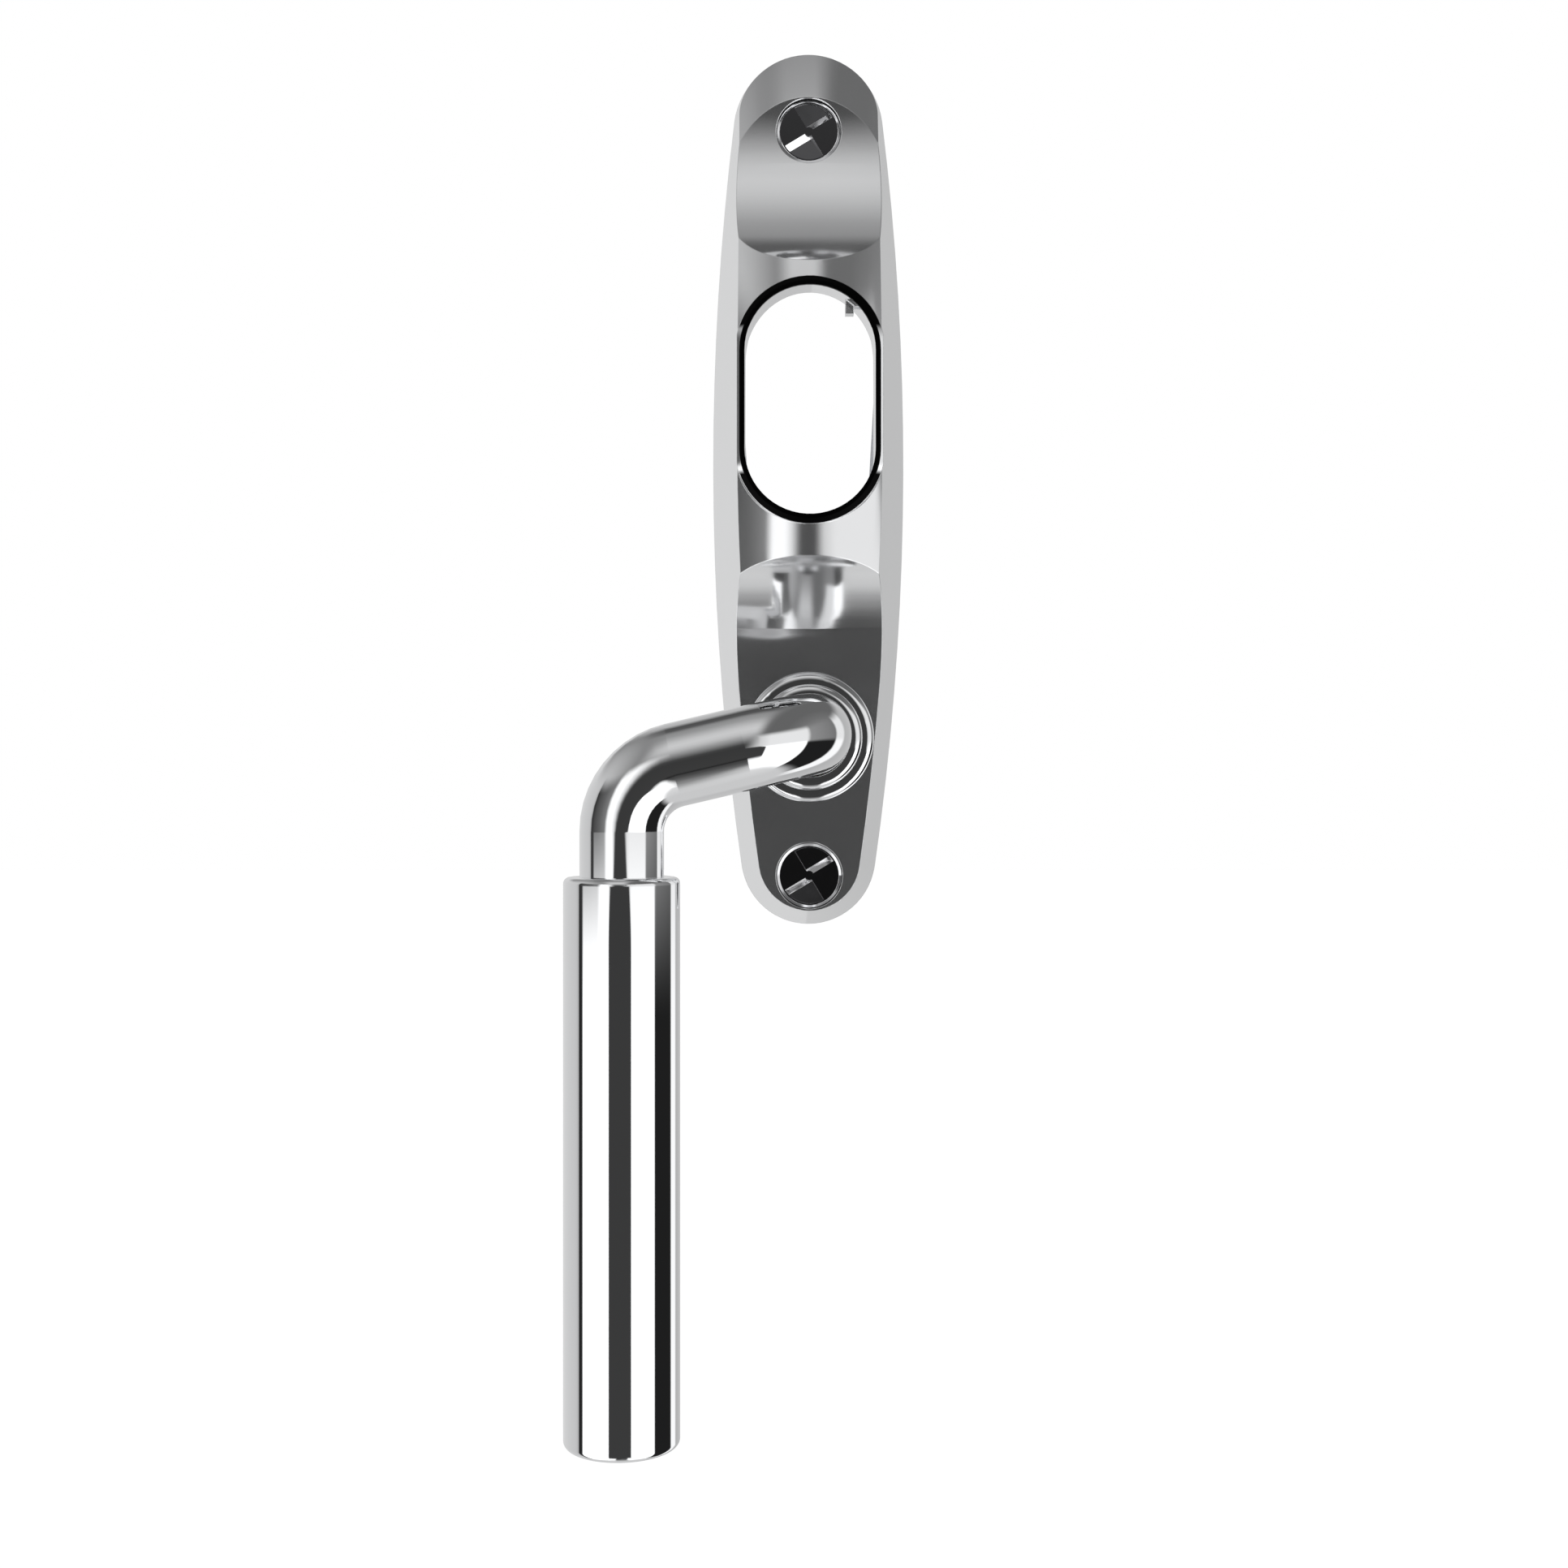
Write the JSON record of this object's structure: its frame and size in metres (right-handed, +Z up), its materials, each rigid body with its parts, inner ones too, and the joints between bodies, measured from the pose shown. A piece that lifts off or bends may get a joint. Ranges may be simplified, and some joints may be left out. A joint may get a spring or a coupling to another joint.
{
  "type": "casement window fastener",
  "caption": "Window fastener: long crowned shield with a raised oval opening and two scoops, and a cranked round-bar lever with a thick cylindrical grip, on a square spindle.",
  "frame": {"origin": "the lever's turning axis where it crosses the shield's back plane", "axes": "+Z up along the shield, +Y through the back plane into the sash, +X to the right seen from the room"},
  "size_m": [0.0551, 0.089, 0.2307],
  "materials": {
    "chromed_casting": "polished",
    "chromed_bar": "polished",
    "chromed_grip": "polished",
    "screw_steel": "polished",
    "plate_steel": "brushed",
    "inner_steel": "plain",
    "bearing_plastic": "matt"
  },
  "bodies": {
    "shield_body": {"shield": "chromed_casting", "back_plate": "plate_steel", "plate_screws": "inner_steel", "fixing_screws": "screw_steel", "collar": "chromed_casting", "bush": "bearing_plastic", "spring_washer": "inner_steel", "stop_pin": "inner_steel", "detent_block": "bearing_plastic", "detent_ball": "inner_steel", "detent_spring": "inner_steel"},
    "lever": {"lever_bar": "chromed_bar", "grip_sleeve": "chromed_grip", "grip_screw": "inner_steel", "grip_cap": "chromed_grip", "spindle": "plate_steel", "spindle_pin": "inner_steel", "thrust_washer": "inner_steel", "retaining_clip": "inner_steel", "click_disc": "inner_steel"}
  },
  "joints": [
    {"name": "lever_turn", "type": "hinge", "parent": "shield_body", "child": "lever", "pos_m": [0, 0, 0], "axis": [0, 1, 0], "range_deg": [0, 90]}
  ]
}
